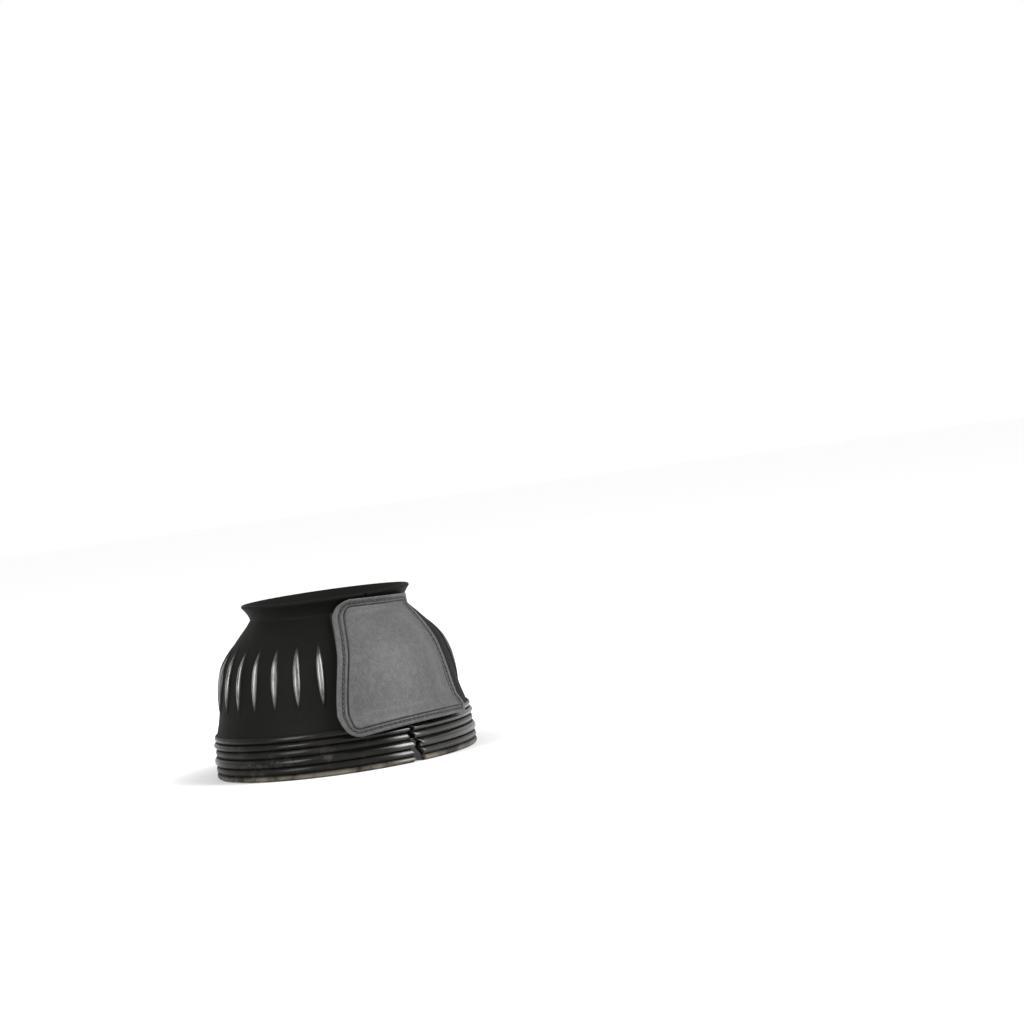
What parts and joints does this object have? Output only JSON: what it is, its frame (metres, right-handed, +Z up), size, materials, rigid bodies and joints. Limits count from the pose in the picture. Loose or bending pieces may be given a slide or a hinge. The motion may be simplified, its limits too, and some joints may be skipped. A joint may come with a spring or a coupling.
{
  "type": "overreach boot",
  "caption": "Moulded rubber bell with a ridged skirt, upright ribs and a flared collar, slit down the front and closed by a stitched leather flap with hook and loop over an inner tongue.",
  "frame": {"origin": "under the middle of the whole boot's box, on the surface that its rim stands on", "axes": "+Z up through the neck, -Y out of the slit, +X towards the side that the flap is sewn on"},
  "size_m": [0.1492, 0.1548, 0.0947],
  "materials": {
    "black_rubber": "satin, with dust on the ridges",
    "grey_leather": "fine-grained synthetic leather with a soft sheen",
    "tongue_leather": "matt, fine-grained",
    "foam": "matt closed-cell foam, inside the flap",
    "loop_pile": "soft brushed pile",
    "hook_tape": "dense fine hooks",
    "black_thread": "twisted thread"
  },
  "bodies": {
    "bell": {"bell_shell": "black_rubber", "flap_root": "grey_leather", "flap_root_thread": "black_thread", "tongue_root": "tongue_leather", "tongue_root_thread": "black_thread"},
    "flap": {"flap_cover": "grey_leather", "flap_foam": "foam", "flap_loop_panel": "loop_pile", "flap_border_thread": "black_thread"},
    "tongue": {"tongue": "tongue_leather", "tongue_hook_panel": "hook_tape", "tongue_border_thread": "black_thread"}
  },
  "joints": [
    {"name": "flap_hinge", "type": "hinge", "parent": "bell", "child": "flap", "pos_m": [0.02747, -0.06069, 0.05791], "axis": [-0.1441, 0.3506, 0.9254], "range_deg": [0, 150]},
    {"name": "tongue_hinge", "type": "hinge", "parent": "bell", "child": "tongue", "pos_m": [-0.02183, -0.05844, 0.06058], "axis": [-0.2681, -0.3409, -0.9011], "range_deg": [0, 50]}
  ],
  "couplings": [
    {"joint": "tongue_hinge", "follows": "flap_hinge", "ratio": 0.3333}
  ]
}
